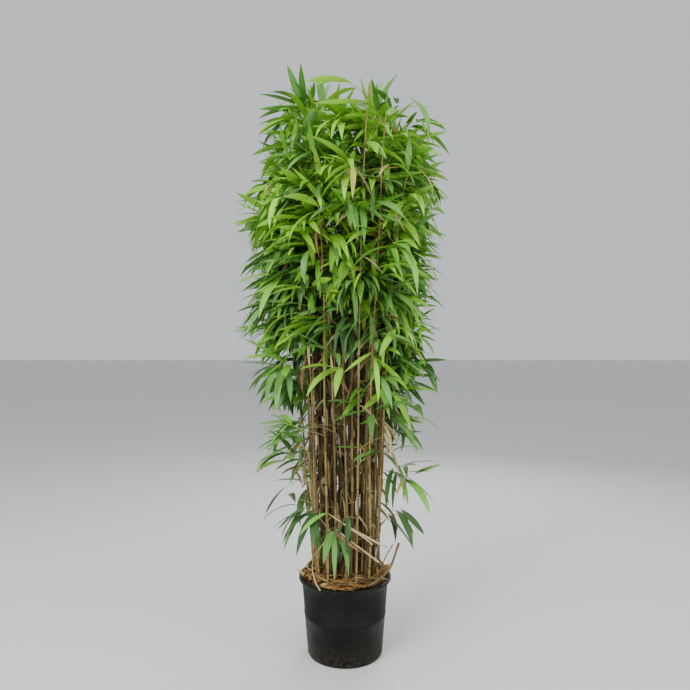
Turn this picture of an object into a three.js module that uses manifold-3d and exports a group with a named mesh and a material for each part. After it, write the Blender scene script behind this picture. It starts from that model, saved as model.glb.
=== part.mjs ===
// A clump of broad-leaved bamboo in a round nursery pot.
// Millimetres, +Z up, origin at the middle of the pot's flat underside.
// Slim stems stand close together on the compost and lean outwards as they rise. Each one ends
// where it enters its mass of leaves, and the mass goes on along the same curve to the stem's tip.
import * as THREE from "three";
import { mergeVertices } from "three/addons/utils/BufferGeometryUtils.js";
import Module from "manifold-3d";

const wasm = await Module();
wasm.setup();

// Whole plant
const plantHeight = 3050;
const fitGap = 0.3; // between pieces that touch
const smallestEdge = 0.05; // shorter edges are closed up, and corners are kept this far apart
const mergeReach = 1e-4; // corners this near to each other are one

// Where the random numbers of each kind of piece begin, to which a piece adds its stem's number
const stemSeed = 20000;
const headSeed = 60000;
const spraySeed = 100000;

// Pot
const potHeight = 400;
const potRimRadius = 240;
const potFootRadius = 194;
const potShoulderRadius = 228; // wall just under the lip
const potBandHeight = 205; // a faint step half way up the wall
const potBandStep = 2;
const potWall = 4;
const potFloor = 5;
const lipHeight = 17;
const lipRounding = 4;
const footRounding = 7;
const potSides = 36;

// Compost
const compostTop = 390;
const compostEdgeDrop = 7;
const compostMargin = 16; // flat compost around the outer stems

// Stems
const stemCount = 38;
const clumpRadius = 186; // where the outer stems stand
const stemFootRadius = 6.6;
const stemTipRadius = 2.6;
const footFlare = 1.3; // swelling at the ground
const nodeSwelling = 1.22; // swelling at each joint of a stem
const nodeHalfHeight = 7;
const nodesPerStem = 2;
const stemSides = 5;
const outerStemDrop = 380; // outer stems end lower than the middle ones
const unevenness = 260; // a stem may be this much shorter than its place asks for
const footTurn = [-0.1, 0.1]; // radians off a stem's even place round the clump
const leanInner = 45; // how far a stem's tip leans out of its foot
const leanOuter = 165;
const leanSpread = [0.7, 1.3];
const sway = [-75, 75]; // sideways
const straightUntil = 0.42; // share of its height to which a stem rises straight
const bentFrom = 0.8; // share of its height where the lean below has been reached
const leanAtBend = 0.3; // share of the whole lean
const swayAtBend = 0.4; // share of the whole sway

// Masses of leaves
const outerHeads = 10; // all the outermost stems carry leaves
const innerHeadEvery = 7; // of the others one in seven, the rest end among the leaves
const headStartInner = 0.64; // share of the stem where its mass of leaves begins
const headStartOuter = 0.36;
const headStartSpread = 0.08;
const axisSteps = 28; // points along a mass's axis
const spaceMargin = 5; // how much nearer to its own stem a point has to be than to any other
const nodeGap = 158; // between the twigs of a stem
const twigLengthLow = 200;
const twigLengthTop = 100;
const twigLengthSpread = [0.8, 1.15];
const twigTurn = [0.35, 1.15]; // radians to the left or right of the way that its stem faces
const innerTwigTurn = 1.5; // the twigs of the middle stems turn this much further
const twigRise = [0.55, 0.95];
const twigSides = 3;
const twigShare = 0.66; // a twig's radius as a share of its stem's
const twigNarrowing = 0.8;
const leafLength = 305;
const leafWidth = 64;
const leafThickness = 4.6;
const leafSize = [0.84, 1.1];
const leafDroop = [0.75, 1.6]; // radians from root to tip
const leafRoll = [-0.5, 0.5];
const leafWidestAt = 0.42; // share of its length
const leafRoot = 1.2; // how deep a leaf's root goes past the middle of its twig
const leafFree = 15; // from here on a leaf touches nothing else
const leavesPerTwig = 8;
const sideLeafPlace = [0.3, 0.88]; // share of the twig where its first and last side leaf grow
const sideLeafTurn = [0.5, 1.1];
const sideLeafRise = [-0.1, 0.6];
const endLeafPlace = 0.97;
const endLeafTurn = 0.1;
const leavesAtTip = 5;
const tipLeafHeight = 190; // how far the topmost leaf stands above its stem
const topLeafRise = 1.35;
const tipLeafRise = [0.6, 1.1];
const tipLeafTurn = 0.5;
const tipLimpness = 0.4; // leaves at a stem's tip droop this much of the others' droop
const lowSprayCount = 4;
const lowSprayHeight = 520; // the lowest one, above the compost
const lowSprayStep = 55;
const lowSprayLength = 170;
const lowSprayRise = 0.6;

// Turns that a twig tries, and turns and lifts that a leaf tries, until it has room, and the
// shares of a twig's or leaf's length where that is tested
const twigBends = [1, -0.6, 0.25, -1.2, 1.6];
const leafBends = [[1, 0], [0.4, 0], [1.5, 0.2], [-0.4, 0.5], [0.2, 0.9], [-1, 0.2], [2, 0.6], [0.5, -0.7]];
const probeShares = [0.25, 0.5, 0.75, 1];

const goldenAngle = Math.PI * (3 - Math.sqrt(5));
const up = new THREE.Vector3(0, 0, 1);

const materials = {
  pot: new THREE.MeshStandardMaterial({ color: 0x1d1f20, roughness: 0.55, metalness: 0 }),
  compost: new THREE.MeshStandardMaterial({ color: 0x6b4e30, roughness: 0.95, metalness: 0 }),
  stem: new THREE.MeshStandardMaterial({ color: 0xb18d55, roughness: 0.6, metalness: 0 }),
  leaf: new THREE.MeshStandardMaterial({ color: 0x5c9a35, roughness: 0.5, metalness: 0 }),
};

// Repeatable random numbers from 0 to 1
function seededRandom(start) {
  let state = start >>> 0;
  return () => {
    state = (state + 0x6d2b79f5) >>> 0;
    let mixed = Math.imul(state ^ (state >>> 15), state | 1);
    mixed ^= mixed + Math.imul(mixed ^ (mixed >>> 7), mixed | 61);
    return ((mixed ^ (mixed >>> 14)) >>> 0) / 4294967296;
  };
}

function between(low, high, share) {
  return low + (high - low) * share;
}

function level(angle) {
  return new THREE.Vector3(Math.cos(angle), Math.sin(angle), 0);
}

// A unit vector at a compass angle and an angle above the horizon
function heading(angle, rise) {
  return level(angle).multiplyScalar(Math.cos(rise)).addScaledVector(up, Math.sin(rise));
}

// Solids and geometries
function solidOf(geometry) {
  const bare = new THREE.BufferGeometry();
  bare.setAttribute("position", geometry.getAttribute("position"));
  bare.setIndex(geometry.index);
  const merged = mergeVertices(bare, mergeReach);
  return new wasm.Manifold(
    new wasm.Mesh({
      numProp: 3,
      vertProperties: new Float32Array(merged.attributes.position.array),
      triVerts: new Uint32Array(merged.index.array),
    }),
  );
}

function geometryOf(solid) {
  const mesh = solid.getMesh();
  const geometry = new THREE.BufferGeometry();
  geometry.setAttribute("position", new THREE.BufferAttribute(mesh.vertProperties, 3));
  geometry.setIndex(new THREE.BufferAttribute(mesh.triVerts, 1));
  geometry.computeVertexNormals();
  return geometry;
}

function hasDistinctCorners(solid) {
  const places = solid.getMesh().vertProperties.map((value) => Math.round(value / smallestEdge));
  const corners = new Set();
  for (let i = 0; i < places.length; i += 3) corners.add(places.slice(i, i + 3).join());
  return corners.size === places.length / 3;
}

// Bends a geometry that stands along +Y, from y = 0 to y = 1, so that it follows a curve
function followCurve(geometry, curve, sideways) {
  const position = geometry.attributes.position;
  const vertex = new THREE.Vector3();
  for (let i = 0; i < position.count; i++) {
    vertex.fromBufferAttribute(position, i);
    const along = THREE.MathUtils.clamp(vertex.y, 0, 1);
    const tangent = curve.getTangent(along);
    const over = new THREE.Vector3().crossVectors(sideways, tangent).normalize();
    const across = new THREE.Vector3().crossVectors(tangent, over);
    const place = curve.getPoint(along);
    place.addScaledVector(across, vertex.x).addScaledVector(over, vertex.z);
    position.setXYZ(i, place.x, place.y, place.z);
  }
  return geometry;
}

// The stretch of a curve from one parameter to another, as a curve of its own
class Stretch extends THREE.Curve {
  constructor(curve, from, to) {
    super();
    Object.assign(this, { curve, from, to });
  }
  getPoint(share) {
    return this.curve.getPoint(between(this.from, this.to, share));
  }
  getTangent(share) {
    return this.curve.getTangent(between(this.from, this.to, share));
  }
}

// Pot and compost
function wallRadius(height) {
  const step = height > potBandHeight ? potBandStep : 0;
  return between(potFootRadius, potShoulderRadius - potBandStep, height / potHeight) + step;
}

// The inner face of the wall runs straight from the floor to the rim
function innerRadius(height) {
  return between(potFootRadius, potShoulderRadius - potBandStep, height / potHeight) - potWall;
}

function turned(profile) {
  const points = profile.map(([radius, height]) => new THREE.Vector2(radius, height));
  return new THREE.LatheGeometry(points, potSides).rotateX(Math.PI / 2);
}

function potGeometry() {
  const lipBottom = potHeight - lipHeight;
  return turned([
    [0, 0],
    [potFootRadius - footRounding, 0],
    [wallRadius(footRounding), footRounding],
    [wallRadius(potBandHeight), potBandHeight],
    [wallRadius(potBandHeight + potBandStep), potBandHeight + potBandStep],
    [wallRadius(lipBottom - lipRounding), lipBottom - lipRounding],
    [potRimRadius - lipRounding, lipBottom],
    [potRimRadius, lipBottom + lipRounding],
    [potRimRadius, potHeight - lipRounding],
    [potRimRadius - lipRounding, potHeight],
    [innerRadius(potHeight), potHeight],
    [innerRadius(potFloor), potFloor],
    [0, potFloor],
  ]);
}

function compostGeometry() {
  const bottom = potFloor + fitGap;
  const edgeTop = compostTop - compostEdgeDrop;
  return turned([
    [0, bottom],
    [innerRadius(bottom) - fitGap, bottom],
    [innerRadius(edgeTop) - fitGap, edgeTop],
    [clumpRadius + compostMargin, compostTop],
    [0, compostTop],
  ]);
}

// Stems: a stem's curve runs from its foot to its tip, and its mass of leaves takes over part way
function growStem(index) {
  const random = seededRandom(stemSeed + index);
  const outness = Math.sqrt((index + 0.5) / stemCount);
  const angle = index * goldenAngle + between(...footTurn, random());
  const out = level(angle);
  const side = level(angle + Math.PI / 2);
  const foot = out.clone().multiplyScalar(clumpRadius * outness);
  foot.z = compostTop + fitGap;
  const shortfall = outerStemDrop * outness * outness + unevenness * random() * random();
  const height = plantHeight - tipLeafHeight - compostTop - shortfall;
  const lean = between(leanInner, leanOuter, outness) * between(...leanSpread, random());
  const swayed = between(...sway, random());
  const lower = foot.clone().addScaledVector(up, height * straightUntil);
  const upper = foot.clone().addScaledVector(up, height * bentFrom);
  upper.addScaledVector(out, lean * leanAtBend).addScaledVector(side, swayed * swayAtBend);
  const tip = foot.clone().addScaledVector(up, height);
  tip.addScaledVector(out, lean).addScaledVector(side, swayed);
  const curve = new THREE.CubicBezierCurve3(foot, lower, upper, tip);
  const start = between(headStartInner, headStartOuter, outness * outness);
  const leafy = index >= stemCount - outerHeads || index % innerHeadEvery === 0;
  const end = start + headStartSpread * random();
  return { index, angle, side, outness, curve, height, leafy, end };
}

function stemRadius(share) {
  return between(stemFootRadius, stemTipRadius, share);
}

// A closed rod that follows a curve, with a ring for each radius and share of its length
function rodGeometry(rings, sides, curve, sideways) {
  const points = rings.map(([radius, share]) => new THREE.Vector2(radius, share));
  const ends = [new THREE.Vector2(0, 0), new THREE.Vector2(0, 1)];
  const lathe = new THREE.LatheGeometry([ends[0], ...points, ends[1]], sides);
  return followCurve(lathe, curve, sideways);
}

// The bare part of a stem, from the compost to its leaves, swollen at its joints
function stemGeometry(stem, extra = 0) {
  const radiusAt = (share) => stemRadius(stem.end * share) + extra;
  const nodeHalf = nodeHalfHeight / (stem.height * stem.end);
  const rings = [[radiusAt(0) * footFlare, 0]];
  for (let joint = 1; joint <= nodesPerStem; joint++) {
    const share = joint / (nodesPerStem + 1);
    rings.push([radiusAt(share), share - nodeHalf]);
    rings.push([radiusAt(share) * nodeSwelling, share]);
    rings.push([radiusAt(share), share + nodeHalf]);
  }
  rings.push([radiusAt(1), 1]);
  return rodGeometry(rings, stemSides, new Stretch(stem.curve, 0, stem.end), stem.side);
}

// The leafy part of a stem, with a ring where each twig starts
function neckGeometry(stem, from, twigs) {
  const rings = Array.from({ length: twigs + 2 }, (_, ring) => {
    const share = ring / (twigs + 1);
    return [stemRadius(between(from, 1, share)), share];
  });
  return rodGeometry(rings, twigSides, new Stretch(stem.curve, from, 1), stem.side);
}

// Twigs and leaves
function twigSolid(start, end, radius) {
  const length = start.distanceTo(end);
  const twig = new THREE.CylinderGeometry(radius * twigNarrowing, radius, length, twigSides);
  const direction = end.clone().sub(start).normalize();
  const turn = new THREE.Quaternion().setFromUnitVectors(new THREE.Vector3(0, 1, 0), direction);
  return solidOf(twig.translate(0, length / 2, 0).applyQuaternion(turn).translate(...start));
}

// A leaf is a long eight-faced blade that starts along one direction and then droops
function leafPoints(root, { angle, rise, droop, roll, size }) {
  const length = leafLength * size;
  const start = heading(angle, rise);
  const end = heading(angle, rise - droop);
  const middle = root.clone().addScaledVector(start, length * leafWidestAt);
  const tip = middle.clone().addScaledVector(end, length * (1 - leafWidestAt));
  const sunk = root.clone().addScaledVector(start, -leafRoot);
  const free = root.clone().addScaledVector(start, leafFree);
  const side = level(angle + Math.PI / 2).applyAxisAngle(start, roll);
  const face = end.add(start).cross(side).normalize();
  return { sunk, free, middle, tip, side, face, halfWidth: (leafWidth * size) / 2 };
}

function leafSolid({ middle, tip, side, face, halfWidth }, root) {
  const blade = new THREE.OctahedronGeometry(1, 0);
  const position = blade.attributes.position;
  for (let i = 0; i < position.count; i++) {
    const along = Math.round(position.getY(i)); // -1, 0 or 1
    const place = [root, middle, tip][along + 1].clone();
    place.addScaledVector(side, position.getX(i) * halfWidth);
    place.addScaledVector(face, (-position.getZ(i) * leafThickness) / 2);
    position.setXYZ(i, place.x, place.y, place.z);
  }
  return solidOf(blade);
}

// A mass keeps to the space that is nearer to its own axis than to any other mass's axis
function nearest(axis, point) {
  return Math.sqrt(Math.min(...axis.map((place) => place.distanceToSquared(point))));
}

function insideSpace(mass, masses, points) {
  return points.every((point) => {
    const own = nearest(mass.axis, point) + spaceMargin;
    return masses.every((other) => other === mass || nearest(other.axis, point) > own);
  });
}

function axisOf(curve, from) {
  return new Stretch(curve, from, 1).getPoints(axisSteps);
}

// Points along both edges of a leaf
function leafProbes({ sunk, middle, tip, side, halfWidth }) {
  const edges = [1, -1].map((turn) => middle.clone().addScaledVector(side, turn * halfWidth));
  const along = (end, share) => edges.map((edge) => edge.clone().lerp(end, share));
  return [...edges, ...along(sunk, 0.5), ...probeShares.flatMap((share) => along(tip, share))];
}

// Joins a piece to a mass, unless that leaves corners that run together
function fuse(mass, piece) {
  const grown = mass.solid.add(piece).simplify(smallestEdge);
  if (!hasDistinctCorners(grown)) return false;
  mass.solid = grown;
  return true;
}

// Adds a leaf to a mass if it stays in the mass's space and touches only the twig it grows on
function addLeaf(mass, masses, limbs, root, pose) {
  const leaf = leafPoints(root, pose);
  if (!insideSpace(mass, masses, leafProbes(leaf))) return false;
  if (!leafSolid(leaf, leaf.sunk).intersect(limbs).isEmpty()) return false;
  if (!leafSolid(leaf, leaf.free).intersect(mass.solid).isEmpty()) return false;
  return fuse(mass, leafSolid(leaf, leaf.sunk));
}

// Offers a leaf its first pose and then others that turn or rise more
function growLeaf(mass, masses, limbs, root, { angle, turn, rise, limpness }, random) {
  const droop = between(...leafDroop, random()) * limpness;
  const roll = between(...leafRoll, random());
  const size = between(...leafSize, random());
  leafBends.some(([share, lift]) => {
    const pose = { angle: angle + turn * share, rise: rise + lift, droop, roll, size };
    return addLeaf(mass, masses, limbs, root, pose);
  });
}

// A twig with its leaves: they leave it by turns to the left and right, and one at its end
function addTwig(mass, masses, limbs, twig, leaves, random) {
  const { start, angle, rise, length, radius } = twig;
  const end = start.clone().addScaledVector(heading(angle, rise), length);
  const probes = probeShares.map((share) => start.clone().lerp(end, share));
  if (!insideSpace(mass, masses, probes)) return false;
  if (!fuse(mass, twigSolid(start, end, radius))) return false;
  for (let leaf = 0; leaf < leaves; leaf++) {
    const last = leaf === leaves - 1;
    const place = last ? endLeafPlace : between(...sideLeafPlace, leaf / (leaves - 2));
    const turn = last ? endLeafTurn : (leaf % 2 ? 1 : -1) * between(...sideLeafTurn, random());
    const root = start.clone().lerp(end, place);
    const leafRise = between(...sideLeafRise, random());
    growLeaf(mass, masses, limbs, root, { angle, turn, rise: leafRise, limpness: 1 }, random);
  }
  return true;
}

// The leafy head of a stem: its own stem, with a twig at each joint and a tuft at the tip
function fillHead(mass, masses, limbs) {
  const { stem } = mass;
  const random = seededRandom(headSeed + stem.index);
  const stretch = new Stretch(stem.curve, mass.from, 1);
  for (let twig = 0; twig < mass.twigs; twig++) {
    const share = (twig + 1) / (mass.twigs + 1);
    const length = between(twigLengthLow, twigLengthTop, share) * between(...twigLengthSpread, random());
    const plainTurn = between(...twigTurn, random()) * between(innerTwigTurn, 1, stem.outness);
    const turn = twig % 2 ? plainTurn : -plainTurn;
    const rise = between(...twigRise, random());
    const start = stretch.getPoint(share);
    const radius = stemRadius(between(mass.from, 1, share)) * twigShare;
    twigBends.some((bend) => {
      const angle = stem.angle + turn * bend;
      return addTwig(mass, masses, limbs, { start, angle, rise, length, radius }, leavesPerTwig, random);
    });
  }
  const tip = stem.curve.getPoint(1);
  for (let leaf = 0; leaf < leavesAtTip; leaf++) {
    const angle = stem.angle + leaf * ((2 * Math.PI) / leavesAtTip) + random();
    const rise = leaf === 0 ? topLeafRise : between(...tipLeafRise, random());
    growLeaf(mass, masses, limbs, tip, { angle, turn: tipLeafTurn, rise, limpness: tipLimpness }, random);
  }
}

// A spray of leaves on a short twig, low on the outside of the clump
function fillLowSpray(mass, masses, limbs) {
  const random = seededRandom(spraySeed + mass.stem.index);
  addTwig(mass, masses, limbs, mass.twig, leavesPerTwig, random);
}

function headMass(stem) {
  const from = stem.end + fitGap / stem.curve.getLength();
  const twigs = Math.round((stem.height * (1 - from)) / nodeGap);
  const axis = axisOf(stem.curve, from);
  return { stem, from, twigs, axis, fill: fillHead, solid: solidOf(neckGeometry(stem, from, twigs)) };
}

function lowSprayMass(stem, index) {
  const share = (lowSprayHeight + index * lowSprayStep) / stem.height;
  const start = stem.curve.getPoint(share);
  const end = start.clone().addScaledVector(heading(stem.angle, lowSprayRise), lowSprayLength);
  const radius = stemRadius(share) * twigShare;
  const twig = { start, angle: stem.angle, rise: lowSprayRise, length: lowSprayLength, radius };
  const axis = axisOf(new THREE.LineCurve3(start, end), 0);
  return { stem, twig, axis, fill: fillLowSpray, solid: wasm.Manifold.union([]) };
}

// A mass cut clear of the stems, with loose scraps dropped
function trimmed(mass, limbs) {
  const bodies = mass.solid.subtract(limbs).decompose();
  return bodies.sort((a, b) => b.volume() - a.volume())[0].simplify(smallestEdge);
}

function named(name, geometry, material) {
  const mesh = new THREE.Mesh(geometry, material);
  mesh.name = name;
  return mesh;
}

function numbered(name, index) {
  return `${name}_${String(index + 1).padStart(2, "0")}`;
}

function buildBamboo() {
  const bamboo = new THREE.Group();
  bamboo.add(named("pot", potGeometry(), materials.pot));
  bamboo.add(named("compost", compostGeometry(), materials.compost));

  const stems = Array.from({ length: stemCount }, (_, index) => growStem(index));
  const limbs = wasm.Manifold.union(stems.map((stem) => solidOf(stemGeometry(stem, fitGap))));
  stems.forEach((stem) => {
    bamboo.add(named(numbered("stem", stem.index), stemGeometry(stem), materials.stem));
  });

  const heads = stems.filter((stem) => stem.leafy).map(headMass);
  const outer = stems.slice(-2 * lowSprayCount).filter((_, index) => index % 2 === 0);
  const sprays = outer.map(lowSprayMass);
  const masses = [...heads, ...sprays];
  masses.forEach((mass) => mass.fill(mass, masses, limbs));
  heads.forEach((mass, index) => {
    bamboo.add(named(numbered("leaf_mass", index), geometryOf(trimmed(mass, limbs)), materials.leaf));
  });
  sprays.forEach((mass, index) => {
    bamboo.add(named(numbered("low_spray", index), geometryOf(trimmed(mass, limbs)), materials.leaf));
  });
  return bamboo;
}

export default buildBamboo();
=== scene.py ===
import math

import bpy
import numpy as np
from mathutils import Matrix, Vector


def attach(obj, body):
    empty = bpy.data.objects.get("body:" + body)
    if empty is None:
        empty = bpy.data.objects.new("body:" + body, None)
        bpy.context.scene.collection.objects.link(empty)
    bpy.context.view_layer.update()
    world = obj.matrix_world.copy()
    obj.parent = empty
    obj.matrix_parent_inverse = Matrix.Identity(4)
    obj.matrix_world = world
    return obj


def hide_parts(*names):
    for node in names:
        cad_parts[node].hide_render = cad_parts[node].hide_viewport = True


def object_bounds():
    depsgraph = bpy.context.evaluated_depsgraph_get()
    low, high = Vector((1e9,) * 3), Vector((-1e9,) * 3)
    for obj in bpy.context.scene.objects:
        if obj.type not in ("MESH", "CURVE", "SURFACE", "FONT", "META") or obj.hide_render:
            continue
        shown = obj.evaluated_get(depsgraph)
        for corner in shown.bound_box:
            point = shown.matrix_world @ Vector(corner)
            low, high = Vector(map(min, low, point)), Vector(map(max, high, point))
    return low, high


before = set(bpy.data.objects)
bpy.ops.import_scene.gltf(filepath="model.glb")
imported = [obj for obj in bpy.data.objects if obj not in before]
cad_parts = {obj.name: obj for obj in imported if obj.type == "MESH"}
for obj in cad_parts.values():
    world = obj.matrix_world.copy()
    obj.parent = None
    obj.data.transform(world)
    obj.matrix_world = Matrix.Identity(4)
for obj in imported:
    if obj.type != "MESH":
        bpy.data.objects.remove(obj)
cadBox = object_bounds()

# A clump of broad-leaved bamboo in a nursery pot, dressed round its CAD solids, in metres and radians

massNodes = sorted(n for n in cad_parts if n.startswith(("leaf_mass", "low_spray")))
stemNodes = sorted(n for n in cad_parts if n.startswith("stem_"))
draw = np.random.default_rng(7)  # all that is left to chance comes from this seed
fullTurn = 2 * math.pi
print("frame loaded:", len(stemNodes), "stems,", len(massNodes), "masses of leaves")


def between(low, high, share):
    return low + (high - low) * share


def spread(low, high, size=None):
    return draw.uniform(low, high, size)


def unit(vectors):
    return vectors / np.linalg.norm(vectors, axis=-1, keepdims=True)


# Left and right by turns
def bySide(number):
    return 1 if number % 2 else -1


# Faces between closed rings, from corner numbers (..., rings, sides)
def ringQuads(index):
    low, high = index[..., :-1, :], index[..., 1:, :]
    quads = np.stack([low, np.roll(low, -1, -1), np.roll(high, -1, -1), high], -1)
    return quads.reshape(-1, 4)


# Faces of an open sheet, from corner numbers (rows, columns)
def sheetQuads(index):
    quads = np.stack([index[:-1, :-1], index[:-1, 1:], index[1:, 1:], index[1:, :-1]], -1)
    return quads.reshape(-1, 4)


# A piece of the part from arrays of corners and faces; each array in faces has one face size
def meshPiece(name, corners, faces, finishes, nodes=(), faceFinish=None, uv=None):
    mesh = bpy.data.meshes.new(name)
    mesh.vertices.add(len(corners))
    mesh.vertices.foreach_set("co", np.asarray(corners, np.float32).ravel())
    loops = np.concatenate([group.ravel() for group in faces]).astype(np.int32)
    sizes = np.concatenate([np.full(len(group), group.shape[1]) for group in faces])
    mesh.loops.add(len(loops))
    mesh.loops.foreach_set("vertex_index", loops)
    mesh.polygons.add(len(sizes))
    mesh.polygons.foreach_set("loop_start", (np.cumsum(sizes) - sizes).astype(np.int32))
    mesh.polygons.foreach_set("use_smooth", np.ones(len(sizes), bool))
    if faceFinish is not None:
        mesh.polygons.foreach_set("material_index", faceFinish.astype(np.int32))
    if uv is not None:
        layer = mesh.uv_layers.new(name="UVMap")
        layer.data.foreach_set("uv", uv[loops].astype(np.float32).ravel())
    for finish in finishes:
        mesh.materials.append(finish)
    mesh.update(calc_edges=True)
    piece = bpy.data.objects.new(name, mesh)
    bpy.context.collection.objects.link(piece)
    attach(piece, "root")
    if nodes:
        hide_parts(*nodes)
    print(name, "made,", int((sizes - 2).sum()), "triangles")


# Rods that follow centres (rods, rings, 3) with radii (rods, rings), as corners and quads
def rods(centres, radii, sides):
    steepFrom = 0.8  # a rod that starts steeper has its sides set out from the x axis
    along = unit(np.gradient(centres, axis=1))
    steep = np.abs(along[:, :1, 2:]) > steepFrom
    helper = np.where(steep, np.array([1.0, 0, 0]), np.array([0, 0, 1.0]))
    across = unit(np.cross(along, helper))
    over = np.cross(along, across)
    turn = np.arange(sides) * fullTurn / sides
    ring = across[:, :, None] * np.cos(turn)[:, None] + over[:, :, None] * np.sin(turn)[:, None]
    corners = centres[:, :, None] + ring * radii[:, :, None, None]
    index = np.arange(radii.size * sides).reshape(*radii.shape, sides)
    return corners.reshape(-1, 3), ringQuads(index)


# Thin rods along paths of equally many points, each narrowing to a share of its thickness
def taperedRods(paths, look):
    centres = np.array(paths)
    taper = np.linspace(1.0, look["tipShare"], centres.shape[1]) * look["thickness"]
    return rods(centres, np.tile(taper, (len(centres), 1)), look["sides"])


# Joins (corners, quads) parts into one
def joined(parts):
    starts = np.cumsum([0] + [len(corners) for corners, _ in parts[:-1]])
    corners = np.concatenate([corners for corners, _ in parts])
    return corners, np.concatenate([quads + start for (_, quads), start in zip(parts, starts)])


# A turned shape from (radius, height) points, pressed a little out of round by the wobble
def turned(profile, sides, wobble=0.0):
    waves = ((2, 1.0, 0.6), (3, 0.5, 2.1))  # how many go round, their strength and their start
    turn = np.arange(sides) * fullTurn / sides
    radius, height = np.array(profile).T
    press = 1 + wobble * sum(strength * np.cos(count * turn + start) for count, strength, start in waves)
    reach = radius[:, None] * press
    tall = np.repeat(height[:, None], sides, 1)
    corners = np.stack([reach * np.cos(turn), reach * np.sin(turn), tall], -1)
    return corners.reshape(-1, 3), ringQuads(np.arange(reach.size).reshape(reach.shape))


# A finish: one material with its shader, and short calls for the nodes that feed it
class Finish:
    def __init__(self, name, roughness=0.5, shine=0.5):
        self.material = bpy.data.materials.new(name)
        self.material.use_nodes = True
        self.tree = self.material.node_tree
        self.shader = self.tree.nodes["Principled BSDF"]
        self.shader.inputs["Roughness"].default_value = roughness
        self.shader.inputs["Specular IOR Level"].default_value = shine

    def node(self, kind, settings=None, **inputs):
        made = self.tree.nodes.new("ShaderNode" + kind)
        for key, value in (settings or {}).items():
            setattr(made, key, value)
        for key, value in inputs.items():
            self.plug(made.inputs[key.replace("_", " ")], value)
        return made

    def plug(self, socket, value):
        if isinstance(value, bpy.types.NodeSocket):
            self.tree.links.new(value, socket)
        else:
            socket.default_value = value

    def place(self, stretch=(1, 1, 1)):
        coords = self.node("TexCoord").outputs["Object"]
        return self.node("Mapping", Vector=coords, Scale=stretch).outputs[0]

    def noise(self, stretch, scale, detail, rough=0.6):
        where = self.place(stretch)
        return self.node("TexNoise", Vector=where, Scale=scale, Detail=detail, Roughness=rough).outputs[0]

    def remap(self, value, low, high, toLow=0.0, toHigh=1.0):
        made = self.node("MapRange", Value=value, From_Min=low, From_Max=high, To_Min=toLow, To_Max=toHigh)
        return made.outputs[0]

    def math(self, operation, a, b=0.0):
        made = self.node("Math", {"operation": operation})
        self.plug(made.inputs[0], a)
        self.plug(made.inputs[1], b)
        return made.outputs[0]

    def mix(self, factor, a, b):
        made = self.node("Mix", {"data_type": "RGBA"})
        self.plug(made.inputs[0], factor)
        self.plug(made.inputs[6], a)
        self.plug(made.inputs[7], b)
        return made.outputs[2]

    # A colour over a tone: none of it where a value is at the first edge, its share at the second
    def layer(self, tone, value, color, edges, share=1.0, gain=1.0):
        return self.mix(self.remap(value, *edges, 0.0, share), tone, shade(color, gain))

    def color(self, value):
        self.plug(self.shader.inputs["Base Color"], value)

    def rough(self, value):
        self.plug(self.shader.inputs["Roughness"], value)

    def bump(self, height, strength, depth):
        made = self.node("Bump", Strength=strength, Distance=depth, Height=height)
        self.plug(self.shader.inputs["Normal"], made.outputs[0])


def shade(color, gain=1.0):
    return tuple(min(1.0, c * gain) for c in color) + (1.0,)


# Cane skin: long fibres over blotches, with a dull shine
caneSkin = {
    "shine": 0.3,
    "fibres": ((260, 260, 6), 1.0, 5),  # stretch, scale and detail of the noise
    "fibreEdges": (0.35, 0.7),  # where the noise turns from pale to dark
    "fibreGain": (1.25, 0.75),  # of pale and of dark fibres
    "fibreShare": 0.35,
    "blotches": ((22, 22, 7), 1.0, 4),
    "blotchEdges": (0.38, 0.68),
    "roughness": (0.3, 0.7, 0.42, 0.62),  # two levels of the noise, and the roughness at each
    "relief": (0.35, 0.0006),  # strength and depth
}


def caneFinish(name, base, dark):
    finish = Finish(name, shine=caneSkin["shine"])
    fibres, blotches = finish.noise(*caneSkin["fibres"]), finish.noise(*caneSkin["blotches"])
    tone = finish.layer(shade(base), blotches, dark, caneSkin["blotchEdges"])
    pale, deep = caneSkin["fibreGain"]
    streaks = finish.layer(shade(base, pale), fibres, dark, caneSkin["fibreEdges"], gain=deep)
    finish.color(finish.mix(caneSkin["fibreShare"], tone, streaks))
    finish.rough(finish.remap(fibres, *caneSkin["roughness"]))
    finish.bump(fibres, *caneSkin["relief"])
    return finish.material


# Papery sheath or dead leaf: parallel veins, bleached patches and spots of mould
paperSkin = {
    "shine": 0.25,
    "roughness": 0.72,
    "veins": (1.0, 3),  # scale and detail
    "patches": ((1, 1, 1), 16.0, 5),
    "patchEdges": (0.36, 0.66),
    "bleached": ((0.4, 0.75), 0.45, 1.3),  # edges, share and gain
    "spots": ((1, 1, 1), 140.0, 2),
    "mould": ((0.66, 0.74), 0.6, 0.45),
    "relief": (0.4, 0.0006),
}


def paperFinish(name, base, dark, stretch):
    finish = Finish(name, paperSkin["roughness"], paperSkin["shine"])
    veins = finish.noise(stretch, *paperSkin["veins"])
    tone = finish.layer(shade(base), finish.noise(*paperSkin["patches"]), dark, paperSkin["patchEdges"])
    tone = finish.layer(tone, veins, base, *paperSkin["bleached"])
    finish.color(finish.layer(tone, finish.noise(*paperSkin["spots"]), dark, *paperSkin["mould"]))
    finish.bump(veins, *paperSkin["relief"])
    return finish.material


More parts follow.
